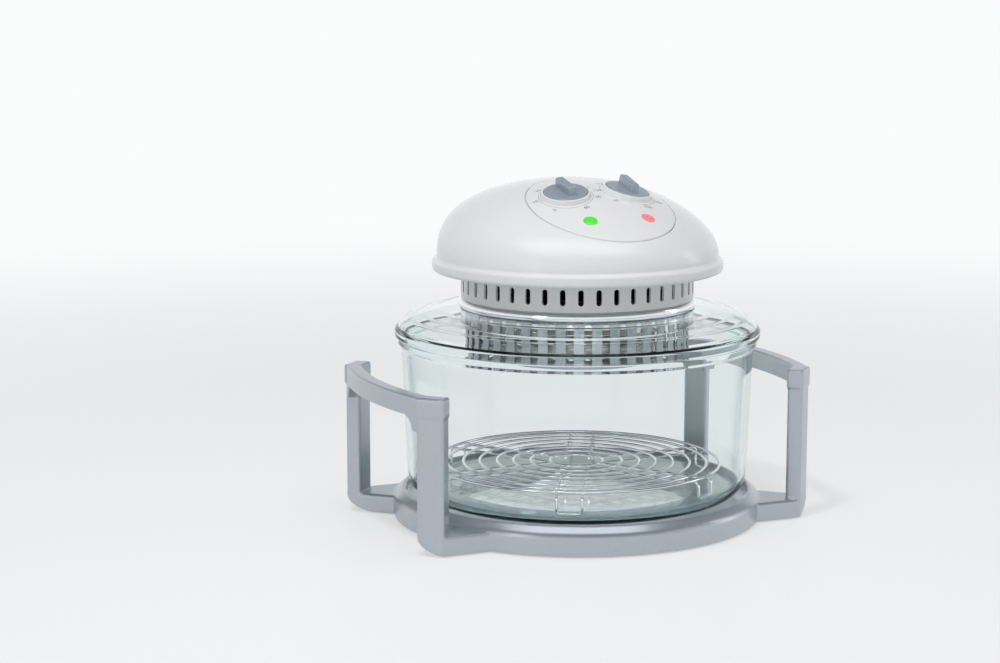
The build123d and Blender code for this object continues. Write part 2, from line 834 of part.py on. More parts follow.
# ---- Drive ----
def fan(radius, low_z, height, blades, hub_top_z):
    """A disc with upright blades on a bored hub."""
    hub_low_z = low_z - fan_hub_drop
    wheel = rod(radius, low_z, low_z + fan_sheet)
    wheel += rod(fan_hub_radius, hub_low_z, hub_top_z)
    inner = fan_hub_radius + fan_blade_inset
    length = radius - inner - fan_blade_end
    blade = Rot(0, 0, fan_blade_turn) * Box(length, fan_sheet, height)
    blade = Pos(inner + length / 2, 0, low_z + height / 2) * blade
    for turn in around(blades):
        wheel += turn * blade
    return wheel - rod(shaft_radius + screw_gap, 0, through)


def cooling_fan():
    top = cooling_fan_low_z + cooling_fan_height
    return fan(cooling_fan_radius, cooling_fan_low_z, cooling_fan_height, cooling_blades, top + fan_hub_rise)


def convection_fan():
    top = convection_fan_low_z + convection_fan_height
    return fan(convection_fan_radius, convection_fan_low_z, convection_fan_height, convection_blades, top)


def drive_shaft():
    return rod(shaft_radius, shaft_low_z, shaft_top_z)


def motor():
    low = motor_low_z
    body = rod(motor_radius, low, low + motor_height)
    rims = body.edges().filter_by(GeomType.CIRCLE)
    body = fillet(rims, motor_edge_round)
    return body - rod(shaft_radius + run_gap, 0, through)


def motor_bracket():
    top_z = motor_low_z - seat_gap
    foot_low_z = deck_top_z + seat_gap
    bridge = Pos(0, 0, top_z - bracket_sheet / 2) * Box(2 * bracket_reach, bracket_width, bracket_sheet)
    bracket = bridge - rod(bracket_hole_radius, 0, through)
    leg_height = top_z - foot_low_z
    foot_reach = bracket_reach + bracket_foot
    for side in (1, -1):
        leg_x = side * (bracket_reach - bracket_sheet / 2)
        bracket += Pos(leg_x, 0, top_z - leg_height / 2) * Box(bracket_sheet, bracket_width, leg_height)
        foot = Box(foot_reach - bracket_reach + bracket_sheet, bracket_width, bracket_sheet)
        foot_x_middle = side * (foot_reach + bracket_reach - bracket_sheet) / 2
        bracket += Pos(foot_x_middle, 0, foot_low_z + bracket_sheet / 2) * foot
    hole = screw_hole(0, 0, foot_low_z - cut_past, foot_low_z + bracket_sheet + cut_past)
    return bracket - [place * hole for place in bracket_screw_places()]


def motor_screws():
    under_head = deck_top_z + seat_gap + bracket_sheet
    piece = screw(0, 0, under_head, bracket_sheet + deck_sheet + motor_screw_past, turn=-1)
    return Compound([place * piece for place in bracket_screw_places()])


# ---- Heater ----
reflector_top_z = reflector_z + reflector_sheet


def shaft_bush():
    flange_low_z = reflector_top_z + run_gap
    bush = rod(bush_radius, bush_low_z, bush_top_z)
    bush += rod(bush_flange_radius, flange_low_z, flange_low_z + bush_flange)
    return bush - rod(shaft_radius + run_gap, 0, through)


def tube_leg_place(side):
    """The plan place of the heater tube's upright end, left or right of its gap at the back."""
    angle = radians(90 - side * tube_gap_angle / 2)
    x = tube_ring_radius * cos(angle) - side * tube_bend * sin(angle)
    y = tube_ring_radius * sin(angle) + side * tube_bend * cos(angle)
    return x, y


def halogen_tube():
    """A round-bent glass tube whose two ends turn up into their caps."""
    edges = []
    ring_points = []
    turn_angle = radians(90 - tube_gap_angle / 2)
    for side in (1, -1):
        start = Vector(side * tube_ring_radius * cos(turn_angle), tube_ring_radius * sin(turn_angle), tube_z)
        x, y = tube_leg_place(side)
        top_of_bend = Vector(x, y, tube_z + tube_bend)
        ahead = Vector(x, y, tube_z) - start
        middle = start + ahead * sin(radians(45)) + Vector(0, 0, tube_bend) * (1 - cos(radians(45)))
        leg_top = Vector(x, y, reflector_z - seat_gap)
        edges += [Line(leg_top, top_of_bend), ThreePointArc(top_of_bend, middle, start)]
        ring_points.append(start)
    front = Vector(0, -tube_ring_radius, tube_z)
    side_x = tube_ring_radius * cos(turn_angle / 2 - radians(45))
    side_y = tube_ring_radius * sin(turn_angle / 2 - radians(45))
    edges.append(ThreePointArc(ring_points[0], Vector(side_x, side_y, tube_z), front))
    edges.append(ThreePointArc(front, Vector(-side_x, side_y, tube_z), ring_points[1]))
    x, y = tube_leg_place(1)
    section = Plane((x, y, reflector_z - seat_gap), z_dir=(0, 0, -1)) * Circle(tube_radius)
    return sweep(section, path=Wire(edges))


def tube_end_caps():
    low_z = reflector_z - cap_height
    bore = tube_radius + run_gap
    places = [tube_leg_place(side) for side in (1, -1)]
    return Compound([tube(cap_radius, bore, low_z, reflector_z - run_gap, x, y) for x, y in places])


def tube_clips():
    bore = tube_radius + fit_gap
    strap_height = reflector_z - run_gap - tube_z - bore
    profile = Circle(bore + clip_sheet)
    profile += Pos(0, bore + strap_height / 2) * Rectangle(clip_sheet, strap_height)
    profile -= Circle(bore)
    profile -= Pos(0, -bore) * Rectangle(bore, 2 * bore)
    clip = extrude(Plane.XZ * profile, clip_width / 2, both=True)
    clip = Pos(tube_ring_radius, 0, tube_z) * clip
    return Compound([Rot(0, 0, angle) * clip for angle in clip_angles])


def sensor_place():
    angle = radians(sensor_angle)
    return sensor_circle * cos(angle), sensor_circle * sin(angle)


def thermal_sensor():
    return rod(sensor_radius, sensor_low_z, sensor_top_z, *sensor_place())


def reflector_plate():
    outer = cage_radius - cage_sheet - fit_gap
    plate = rod(outer, reflector_z, reflector_top_z)
    plate += tube(outer, outer - reflector_sheet, reflector_z - reflector_skirt, reflector_top_z)
    plate -= rod(bush_radius + run_gap, 0, through)
    return plate - rod(sensor_radius + run_gap, 0, through, *sensor_place())


def insulation_pad():
    low_z = reflector_top_z + run_gap
    return tube(insulation_radius, insulation_hole_radius, low_z, low_z + insulation_height)


# ---- Wiring points ----
def terminal_block():
    low_z = deck_top_z + run_gap
    block = Box(terminal_length, terminal_width, terminal_height)
    pitch = terminal_length / terminal_ways
    for way in range(terminal_ways):
        way_x = (way + 0.5) * pitch - terminal_length / 2
        block -= Pos(way_x, 0, 0) * Rot(90, 0, 0) * Cylinder(terminal_way_radius, terminal_width + 2)
    return Pos(terminal_x, terminal_y, low_z + terminal_height / 2) * block


def power_inlet():
    """The socket for a mains lead in the dome's back wall."""
    body = Pos(0, inlet_back_y - inlet_depth / 2, inlet_z) * Box(inlet_width, inlet_depth, inlet_height)
    recess = Box(inlet_width - 5, 2 * inlet_recess, inlet_height - 4.5)
    body -= Pos(0, inlet_back_y, inlet_z) * recess
    for side in (1, -1):
        pin = Rot(90, 0, 0) * Cylinder(inlet_pin_radius, inlet_recess - 1)
        pin_y = inlet_back_y - inlet_recess / 2 - 1
        body += Pos(side * inlet_pin_spacing / 2, pin_y, inlet_z) * pin
    return body


# ---- Stand's small pieces ----
def handle_screws():
    piece = screw(0, 0, tongue_low_z, handle_screw_length)
    return Compound([Pos(x, y, 0) * piece for x, y in four_corners(screw_x, screw_y)])


def rubber_feet():
    foot = rod(foot_radius, 0, ring_low_z + foot_socket_depth - seat_gap)
    foot = fillet(foot.edges().group_by(Axis.Z)[0], foot_edge_round)
    return Compound([Pos(x, y, 0) * foot for x, y in four_corners(foot_x, foot_y)])


def bowl_pads():
    pad = rod(pad_radius, ledge_z + run_gap, ledge_z + pad_height)
    return Compound([turn * Pos(pad_circle_radius, 0, 0) * pad for turn in around(pad_count, 45.0)])


right = handle_right()
pieces = {
    "stand_ring": stand_ring(),
    "handle_right": right,
    "handle_left": right.mirror(Plane.YZ),
    "handle_screws": handle_screws(),
    "rubber_feet": rubber_feet(),
    "bowl_pads": bowl_pads(),
    "glass_bowl": glass_bowl(),
    "rack_rings": rack_rings(),
    "rack_legs": rack_legs(),
    "glass_lid": glass_lid(),
    "neck_gasket": neck_gasket(),
    "retaining_ring": retaining_ring(),
    "clamp_ring": clamp_ring(),
    "heater_cage": heater_cage(),
    "cage_screws": cage_screws(),
    "bottom_guard": bottom_guard(),
    "vent_collar": vent_collar(),
    "collar_screws": collar_screws(),
    "mounting_deck": mounting_deck(),
    "head_screws": head_screws(),
    "dome_cover": dome_cover(),
    "control_panel": control_panel(),
    "timer_knob": timer_seat * control_knob(),
    "timer_shaft": timer_seat * control_shaft(timer_height),
    "timer_mechanism": timer_mechanism(),
    "temperature_knob": thermostat_seat * control_knob(),
    "thermostat_shaft": thermostat_seat * control_shaft(thermostat_height),
    "thermostat": thermostat(),
    "power_lens": power_lamp_seat * lens(),
    "heat_lens": heat_lamp_seat * lens(),
    "lamp_holders": lamp_holders(),
    "motor": motor(),
    "motor_bracket": motor_bracket(),
    "motor_screws": motor_screws(),
    "drive_shaft": drive_shaft(),
    "shaft_bush": shaft_bush(),
    "cooling_fan": cooling_fan(),
    "convection_fan": convection_fan(),
    "reflector_plate": reflector_plate(),
    "insulation_pad": insulation_pad(),
    "halogen_tube": halogen_tube(),
    "tube_end_caps": tube_end_caps(),
    "tube_clips": tube_clips(),
    "thermal_sensor": thermal_sensor(),
    "terminal_block": terminal_block(),
    "power_inlet": power_inlet(),
}
for name, piece in pieces.items():
    export_step(piece, f"parts/{name}.step")

for name, seat in (("timer", timer_seat), ("thermostat", thermostat_seat)):
    place = tuple(round(v, 4) for v in seat.origin)
    axis = tuple(round(v, 5) for v in seat.z_dir)
    print(name, "axis from", place, "along", axis)
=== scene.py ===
import json
import math

import bmesh
import bpy
from mathutils import Matrix, Vector


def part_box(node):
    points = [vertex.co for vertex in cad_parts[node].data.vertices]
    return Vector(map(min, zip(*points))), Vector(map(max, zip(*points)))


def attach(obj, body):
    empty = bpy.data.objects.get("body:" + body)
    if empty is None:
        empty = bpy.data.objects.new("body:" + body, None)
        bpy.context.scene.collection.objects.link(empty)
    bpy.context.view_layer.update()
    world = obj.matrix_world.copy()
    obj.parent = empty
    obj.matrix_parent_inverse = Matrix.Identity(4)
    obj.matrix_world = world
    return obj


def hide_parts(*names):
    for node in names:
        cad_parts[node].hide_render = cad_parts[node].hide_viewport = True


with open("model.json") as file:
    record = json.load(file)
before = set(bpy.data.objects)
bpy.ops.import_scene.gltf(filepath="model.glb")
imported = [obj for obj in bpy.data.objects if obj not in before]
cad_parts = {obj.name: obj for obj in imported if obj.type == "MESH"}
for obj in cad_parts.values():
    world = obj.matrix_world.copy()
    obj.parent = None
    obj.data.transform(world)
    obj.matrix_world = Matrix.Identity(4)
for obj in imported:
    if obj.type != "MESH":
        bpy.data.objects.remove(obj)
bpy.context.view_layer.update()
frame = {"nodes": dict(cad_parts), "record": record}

# Halogen oven. Metres, +Z up, the control panel faces -Y.
MM = 0.001

# ---- Camera ----
camera_place = Vector((-0.8744, -1.8332, 0.4975))
camera_turn = -23.52
camera_pitch = 9.2
camera_lens = 81.2


def add_camera():
    data = bpy.data.cameras.new("camera")
    data.lens = camera_lens
    camera = bpy.data.objects.new("camera", data)
    camera.location = camera_place
    camera.rotation_euler = (math.radians(90 - camera_pitch), 0, math.radians(camera_turn))
    bpy.context.collection.objects.link(camera)
    bpy.context.scene.camera = camera


# ---- Light and floor ----
backdrop_colour = (0.965, 0.97, 0.975, 1)
backdrop_low = 0.12
backdrop_high = 0.62
overhead_colour = (0.16, 0.18, 0.21, 1)
soft_light_colour = (0.92, 0.95, 1.0, 1)
soft_light_strength = 0.42
floor_colour = (0.95, 0.955, 0.96, 1)
floor_radius = 6.0
floor_sides = 96
floor_roughness = 0.45
floor_fade_start = 0.28
floor_fade_end = 2.4
floor_least_glow = 0.5


def link(nodes, source, output, target, socket):
    """Joins an output of one shader node to an input of another."""
    nodes.id_data.links.new(source.outputs[output], target.inputs[socket])


def seen_directly(nodes):
    """One where a camera, glossy or transmission ray arrives, and zero where light is gathered."""
    path = nodes.new("ShaderNodeLightPath")
    either = nodes.new("ShaderNodeMath")
    either.operation = "MAXIMUM"
    link(nodes, path, "Is Camera Ray", either, 0)
    link(nodes, path, "Is Glossy Ray", either, 1)
    any_of = nodes.new("ShaderNodeMath")
    any_of.operation = "MAXIMUM"
    link(nodes, either, 0, any_of, 0)
    link(nodes, path, "Is Transmission Ray", any_of, 1)
    return any_of


def add_world():
    """Soft light from all round. Seen directly it is a pale backdrop that darkens overhead."""
    world = bpy.data.worlds.new("studio")
    bpy.context.scene.world = world
    world.use_nodes = True
    nodes = world.node_tree.nodes
    nodes.clear()
    soft = nodes.new("ShaderNodeBackground")
    soft.inputs["Color"].default_value = soft_light_colour
    soft.inputs["Strength"].default_value = soft_light_strength
    shown = nodes.new("ShaderNodeBackground")
    shown.inputs["Strength"].default_value = 1.0
    place = nodes.new("ShaderNodeTexCoord")
    split = nodes.new("ShaderNodeSeparateXYZ")
    link(nodes, place, "Generated", split, 0)
    height = nodes.new("ShaderNodeValToRGB")
    link(nodes, split, "Z", height, "Fac")
    stops = height.color_ramp.elements
    stops[0].position = backdrop_low
    stops[0].color = backdrop_colour
    stops[1].position = backdrop_high
    stops[1].color = overhead_colour
    link(nodes, height, "Color", shown, "Color")
    mix = nodes.new("ShaderNodeMixShader")
    link(nodes, seen_directly(nodes), 0, mix, 0)
    link(nodes, soft, 0, mix, 1)
    link(nodes, shown, 0, mix, 2)
    output = nodes.new("ShaderNodeOutputWorld")
    link(nodes, mix, 0, output, "Surface")


def add_lamp(name, place, aim, size, power, mirrored=True):
    """A soft rectangular lamp. A lamp that isn't mirrored shows in no gloss."""
    data = bpy.data.lights.new(name, "AREA")
    data.shape = "RECTANGLE"
    data.size, data.size_y = size
    data.energy = power
    lamp = bpy.data.objects.new(name, data)
    lamp.location = place
    lamp.rotation_euler = (Vector(aim) - Vector(place)).to_track_quat("-Z", "Y").to_euler()
    lamp.visible_glossy = mirrored
    bpy.context.collection.objects.link(lamp)


def add_lamps():
    middle = (0, 0, 0.15)
    add_lamp("key_lamp", (-0.5, -0.45, 1.5), middle, (0.16, 0.16), 5.6, mirrored=False)
    add_lamp("top_lamp", (-0.1, -0.25, 1.35), middle, (1.3, 0.6), 4.6)
    add_lamp("left_lamp", (-1.6, -0.9, 0.7), middle, (0.35, 1.1), 1.7)
    add_lamp("right_lamp", (1.5, -0.3, 0.6), middle, (0.25, 1.0), 1.4)
    add_lamp("front_lamp", (-0.7, -1.9, 0.35), middle, (1.0, 0.5), 3.2, mirrored=False)


def add_floor():
    mesh = bpy.data.meshes.new("floor")
    shape = bmesh.new()
    bmesh.ops.create_circle(shape, cap_ends=True, radius=floor_radius, segments=floor_sides)
    shape.to_mesh(mesh)
    shape.free()
    floor = bpy.data.objects.new("floor", mesh)
    bpy.context.collection.objects.link(floor)
    material = bpy.data.materials.new("floor")
    material.use_nodes = True
    nodes = material.node_tree.nodes
    surface = nodes["Principled BSDF"]
    surface.inputs["Base Color"].default_value = floor_colour
    surface.inputs["Roughness"].default_value = floor_roughness
    glow = nodes.new("ShaderNodeEmission")
    glow.inputs["Color"].default_value = backdrop_colour
    place = nodes.new("ShaderNodeNewGeometry")
    reach = nodes.new("ShaderNodeVectorMath")
    reach.operation = "LENGTH"
    link(nodes, place, "Position", reach, 0)
    fade = nodes.new("ShaderNodeMapRange")
    fade.interpolation_type = "SMOOTHSTEP"
    fade.inputs["From Min"].default_value = floor_fade_start
    fade.inputs["From Max"].default_value = floor_fade_end
    fade.inputs["To Min"].default_value = floor_least_glow
    link(nodes, reach, "Value", fade, "Value")
    share = nodes.new("ShaderNodeMath")
    share.operation = "MULTIPLY"
    link(nodes, fade, 0, share, 0)
    link(nodes, seen_directly(nodes), 0, share, 1)
    mix = nodes.new("ShaderNodeMixShader")
    link(nodes, share, 0, mix, 0)
    link(nodes, surface, 0, mix, 1)
    link(nodes, glow, 0, mix, 2)
    link(nodes, mix, 0, nodes["Material Output"], "Surface")
    mesh.materials.append(material)


# ---- Materials ----
def varied_material(name, colour, other, rough, grain, bump=0.0, stretch=(1, 1, 1), **values):
    """A surface whose colour, gloss and height vary with a noise.
    colour and other are its two tints, rough its lowest and highest roughness, grain the size of a
    grain, bump its depth, both in metres, and stretch draws the grain out along an axis."""
    material = bpy.data.materials.new(name)
    material.use_nodes = True
    nodes = material.node_tree.nodes
    shader = nodes["Principled BSDF"]
    for socket, value in values.items():
        shader.inputs[socket.replace("_", " ")].default_value = value
    place = nodes.new("ShaderNodeTexCoord")
    scale = nodes.new("ShaderNodeMapping")
    scale.inputs["Scale"].default_value = stretch
    link(nodes, place, "Object", scale, "Vector")
    noise = nodes.new("ShaderNodeTexNoise")
    noise.inputs["Scale"].default_value = 1 / grain
    noise.inputs["Detail"].default_value = 3
    link(nodes, scale, 0, noise, "Vector")
    tint = nodes.new("ShaderNodeMix")
    tint.data_type = "RGBA"
    tint.inputs[6].default_value = (*colour, 1)
    tint.inputs[7].default_value = (*other, 1)
    link(nodes, noise, "Fac", tint, 0)
    nodes.id_data.links.new(tint.outputs[2], shader.inputs["Base Color"])
    gloss = nodes.new("ShaderNodeMapRange")
    gloss.inputs["From Min"].default_value = 0.3
    gloss.inputs["From Max"].default_value = 0.7
    gloss.inputs["To Min"].default_value = rough[0]
    gloss.inputs["To Max"].default_value = rough[1]
    link(nodes, noise, "Fac", gloss, "Value")
    link(nodes, gloss, 0, shader, "Roughness")
    if bump:
        relief = nodes.new("ShaderNodeBump")
        relief.inputs["Distance"].default_value = bump
        link(nodes, noise, "Fac", relief, "Height")
        link(nodes, relief, 0, shader, "Normal")
    return material


def glass_material(name, tint, density):
    """Clear glass that is tinted by its depth and lets the lamps' light through.
    Its low IOR keeps glare off, so that what is behind shows clearly."""
    material = bpy.data.materials.new(name)
    material.use_nodes = True
    nodes = material.node_tree.nodes
    shader = nodes["Principled BSDF"]
    shader.inputs["Base Color"].default_value = (1, 1, 1, 1)
    shader.inputs["Roughness"].default_value = 0.0
    shader.inputs["IOR"].default_value = 1.25
    shader.inputs["Transmission Weight"].default_value = 1.0
    clear = nodes.new("ShaderNodeBsdfTransparent")
    clear.inputs["Color"].default_value = (0.98, 0.99, 0.988, 1)
    path = nodes.new("ShaderNodeLightPath")
    mix = nodes.new("ShaderNodeMixShader")
    link(nodes, path, "Is Shadow Ray", mix, 0)
    link(nodes, shader, 0, mix, 1)
    link(nodes, clear, 0, mix, 2)
    link(nodes, mix, 0, nodes["Material Output"], "Surface")
    depth = nodes.new("ShaderNodeVolumeAbsorption")
    depth.inputs["Color"].default_value = (*tint, 1)
    depth.inputs["Density"].default_value = density
    link(nodes, depth, 0, nodes["Material Output"], "Volume")
    return material


def make_materials():
    """The materials by the record's slot names."""
    return {
        "silver_paint": varied_material(
            "silver_paint", (0.44, 0.475, 0.52), (0.49, 0.525, 0.57), (0.27, 0.34), 0.5 * MM, 0.008 * MM,
            Metallic=0.7, Coat_Weight=0.3, Coat_Roughness=0.15),
        "rubber": varied_material(
            "rubber", (0.02, 0.02, 0.022), (0.035, 0.035, 0.037), (0.6, 0.8), 0.8 * MM, 0.03 * MM),
        "silicone": varied_material(
            "silicone", (0.62, 0.64, 0.65), (0.70, 0.72, 0.73), (0.4, 0.55), 1.0 * MM, 0.02 * MM,
            Subsurface_Weight=0.3),
        "steel_screw": varied_material(
            "steel_screw", (0.55, 0.55, 0.57), (0.65, 0.65, 0.67), (0.22, 0.34), 0.4 * MM, 0.005 * MM,
            Metallic=1.0),
        "clear_glass": glass_material("clear_glass", (0.30, 0.74, 0.70), 14.0),
        "chrome_wire": varied_material(
            "chrome_wire", (0.80, 0.81, 0.83), (0.86, 0.87, 0.88), (0.06, 0.14), 3 * MM, Metallic=1.0),
        "brushed_steel": varied_material(
            "brushed_steel", (0.30, 0.335, 0.36), (0.38, 0.42, 0.445), (0.26, 0.36), 0.35 * MM, 0.01 * MM,
            (1, 1, 0.04), Metallic=1.0),
        "bright_ring": varied_material(
            "bright_ring", (0.82, 0.83, 0.84), (0.88, 0.89, 0.90), (0.07, 0.12), 4 * MM, Metallic=1.0),
        "white_plastic": varied_material(
            "white_plastic", (0.78, 0.78, 0.77), (0.81, 0.81, 0.80), (0.20, 0.26), 6 * MM, 0.01 * MM,
            Coat_Weight=0.2, Coat_Roughness=0.12),
        "knob_plastic": varied_material(
            "knob_plastic", (0.33, 0.39, 0.45), (0.37, 0.43, 0.49), (0.26, 0.36), 0.6 * MM, 0.01 * MM,
            Metallic=0.25, Coat_Weight=0.2),
        "green_lens": varied_material(
            "green_lens", (0.07, 0.62, 0.03), (0.10, 0.72, 0.05), (0.10, 0.16), 2 * MM,
            Emission_Color=(0.08, 0.75, 0.04, 1), Emission_Strength=0.25, Coat_Weight=0.5),
        "red_lens": varied_material(
            "red_lens", (0.86, 0.18, 0.20), (0.93, 0.26, 0.27), (0.10, 0.16), 2 * MM,
            Emission_Color=(0.95, 0.22, 0.24, 1), Emission_Strength=0.2, Coat_Weight=0.5),
        "dark_plastic": varied_material(
            "dark_plastic", (0.025, 0.025, 0.028), (0.04, 0.04, 0.044), (0.4, 0.55), 0.6 * MM, 0.02 * MM),
        "galvanised": varied_material(
            "galvanised", (0.30, 0.31, 0.32), (0.48, 0.49, 0.50), (0.32, 0.5), 5 * MM, Metallic=1.0),
        "bronze": varied_material(
            "bronze", (0.42, 0.27, 0.12), (0.52, 0.34, 0.16), (0.3, 0.45), 1 * MM, Metallic=1.0),
        "quartz": varied_material(
            "quartz", (0.93, 0.93, 0.91), (0.98, 0.98, 0.96), (0.05, 0.1), 5 * MM,
            Transmission_Weight=0.85, IOR=1.46),
        "ceramic": varied_material(
            "ceramic", (0.80, 0.78, 0.72), (0.86, 0.84, 0.79), (0.5, 0.65), 0.8 * MM, 0.02 * MM),
        "mineral_wool": varied_material(
            "mineral_wool", (0.62, 0.58, 0.47), (0.78, 0.75, 0.64), (0.85, 0.95), 1.5 * MM, 0.5 * MM),
        "motor_case": varied_material(
            "motor_case", (0.30, 0.31, 0.32), (0.38, 0.39, 0.40), (0.35, 0.5), 1.5 * MM, 0.02 * MM,
            Metallic=0.9),
        "print_ink": varied_material(
            "print_ink", (0.10, 0.11, 0.12), (0.14, 0.15, 0.16), (0.45, 0.55), 0.3 * MM),
        "beige_plastic": varied_material(
            "beige_plastic", (0.60, 0.54, 0.42), (0.66, 0.60, 0.48), (0.4, 0.5), 1.0 * MM, 0.02 * MM),
    }


def dress_cad_nodes(materials):
    """Gives each CAD node the material of its slot."""
    for part in frame["record"]["subparts"]:
        node = frame["nodes"][part["node"]]
        node.data.materials.clear()
        node.data.materials.append(materials[part["material_slot"]])


# ---- Mesh tools ----
lathe_steps = 256
arc_step = math.radians(9)
crease_angle = math.radians(38)
pole_radius = 0.001 * MM
weld_distance = 0.001 * MM


def full_turn(steps):
    """Evenly spaced angles all round."""
    return [2 * math.pi * k / steps for k in range(steps)]


def rounded(corners, closed=True):
    """The points of an outline. Each corner is a (place, radius) pair, and gets an arc of that radius."""
    points = []
    last = len(corners) - 1
    for i, (place, radius) in enumerate(corners):
        here = Vector(place)
        if not radius or (not closed and i in (0, last)):
            points.append(here)
            continue
        back = (Vector(corners[i - 1][0]) - here).normalized()
        ahead = (Vector(corners[(i + 1) % len(corners)][0]) - here).normalized()
        half = back.angle(ahead) / 2
        centre = here + (back + ahead).normalized() * radius / math.sin(half)
        start = here + back * radius / math.tan(half) - centre
        end = here + ahead * radius / math.tan(half) - centre
        turn = start.angle(end)
        steps = max(3, round(turn / arc_step))
        for k in range(steps + 1):
            share = turn * k / steps
            points.append(centre + (start * math.sin(turn - share) + end * math.sin(share)) / math.sin(turn))
    return points


def scaled(corners):
    """Corners given in millimetres as (radius, height, round)."""
    return [((x * MM, z * MM), radius * MM) for x, z, radius in corners]


def add_rings(shape, rings, closed):
    """Joins rows of vertices with faces. A row of one vertex is a pole."""
    pairs = list(zip(rings, rings[1:]))
    if closed:
        pairs.append((rings[-1], rings[0]))
    for low, high in pairs:
        count = max(len(low), len(high))
        if count == 1:
            continue
        for i in range(count):
            j = (i + 1) % count
            four = [low[i % len(low)], low[j % len(low)], high[j % len(high)], high[i % len(high)]]
            shape.faces.new(list(dict.fromkeys(four)))


def turned(outlines, steps=lathe_steps):
    """Closed outlines of (radius, height) turned about Z."""
    shape = bmesh.new()
    turns = full_turn(steps)
    for outline in outlines:
        rings = []
        for radius, height in outline:
            around = turns if radius > pole_radius else turns[:1]
            places = [(radius * math.cos(a), radius * math.sin(a), height) for a in around]
            rings.append([shape.verts.new(place) for place in places])
        add_rings(shape, rings, True)
    return shape


def mesh_of(name, shape):
    """The mesh of a bmesh, which is freed."""
    mesh = bpy.data.meshes.new(name)
    shape.to_mesh(mesh)
    shape.free()
    return mesh


def add_draft(data):
    """An object that is only there to be turned into a mesh."""
    draft = bpy.data.objects.new("draft", data)
    bpy.context.collection.objects.link(draft)
    return draft


def add_piece(name, shape, slot, body, *nodes):
    """Makes an object of a mesh or a bmesh in the shared frame, and sets it on its body.
    A slot that the record doesn't hold, as the print's, gives the piece its material only."""
    if isinstance(shape, bmesh.types.BMesh):
        bmesh.ops.recalc_face_normals(shape, faces=shape.faces)
        mesh = mesh_of(name, shape)
    else:
        mesh = shape
        mesh.name = name
    mesh.shade_smooth()
    mesh.set_sharp_from_angle(angle=crease_angle)
    mesh.materials.clear()
    mesh.materials.append(materials[slot])
    piece = bpy.data.objects.new(name, mesh)
    bpy.context.collection.objects.link(piece)
    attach(piece, body)
    if nodes:
        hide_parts(*nodes)


def final_mesh(*drafts):
    """The first draft's mesh with its modifiers in it. All the drafts are removed."""
    bpy.context.view_layer.update()
    seen = bpy.context.evaluated_depsgraph_get()
    made = bpy.data.meshes.new_from_object(drafts[0].evaluated_get(seen))
    for draft in drafts:
        bpy.data.objects.remove(draft)
    return made


def moulded(name, nodes, slot, body, voxel, passes):
    """The shape of one or more nodes with soft edges and corners, as a moulding has them."""
    shape = bmesh.new()
    for node in nodes:
        shape.from_mesh(frame["nodes"][node].data)
    bmesh.ops.remove_doubles(shape, verts=shape.verts, dist=weld_distance)
    draft = add_draft(mesh_of(name, shape))
    remesh = draft.modifiers.new("remesh", "REMESH")
    remesh.mode = "VOXEL"
    remesh.voxel_size = voxel
    soften = draft.modifiers.new("soften", "SMOOTH")
    soften.iterations = passes
    made = final_mesh(draft)
    add_piece(name, made, slot, body, *nodes)
    made.set_sharp_from_angle(angle=math.pi)


def cut_box(shape, low, high):
    """The mesh of a bmesh with a box cut out of it."""
    cutter = bmesh.new()
    place = Matrix.Translation((low + high) / 2) @ Matrix.Diagonal((*(high - low), 1))
    bmesh.ops.create_cube(cutter, size=1, matrix=place)
    drafts = []
    for solid in (shape, cutter):
        bmesh.ops.recalc_face_normals(solid, faces=solid.faces)
        drafts.append(add_draft(mesh_of("draft", solid)))
    cut = drafts[0].modifiers.new("cut", "BOOLEAN")
    cut.object = drafts[1]
    return final_mesh(*drafts)


def wires(paths, radius):
    """Round wires along open paths, as one mesh."""
    curve = bpy.data.curves.new("wires", "CURVE")
    curve.dimensions = "3D"
    curve.bevel_depth = radius
    curve.bevel_resolution = 3
    curve.use_fill_caps = True
    for path in paths:
        spline = curve.splines.new("POLY")
        spline.points.add(len(path) - 1)
        for point, place in zip(spline.points, path):
            point.co = (*place, 1)
    return final_mesh(add_draft(curve))


# ---- Glass ----
def add_bowl():
    low, high = [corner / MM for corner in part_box("glass_bowl")]
    wall = 4.5
    floor_thickness = 6.0
    rim_reach = 3.0
    draft_taper = 5.85
    floor = low.z + floor_thickness
    rim = high.x
    top = rim - rim_reach
    foot = top - draft_taper
    outline = rounded(scaled([
        (0, low.z, 0),
        (foot, low.z, 20),
        (top, high.z - 8.0, 1.2),
        (rim, high.z - 5.5, 1.2),
        (rim, high.z, 1.5),
        (top - wall, high.z, 1.5),
        (foot - wall + 0.2, floor, 15.5),
        (0, floor, 0),
    ]))
    add_piece("bowl", turned([outline]), "clear_glass", "bowl", "glass_bowl")


def drawn_in(path, wall):
    """An open outline moved to its right by a wall's thickness."""
    moved = []
    for i, place in enumerate(path):
        along = path[min(i + 1, len(path) - 1)] - path[max(i - 1, 0)]
        side = Vector((along.y, -along.x)).normalized()
        moved.append(place + side * wall)
    return moved


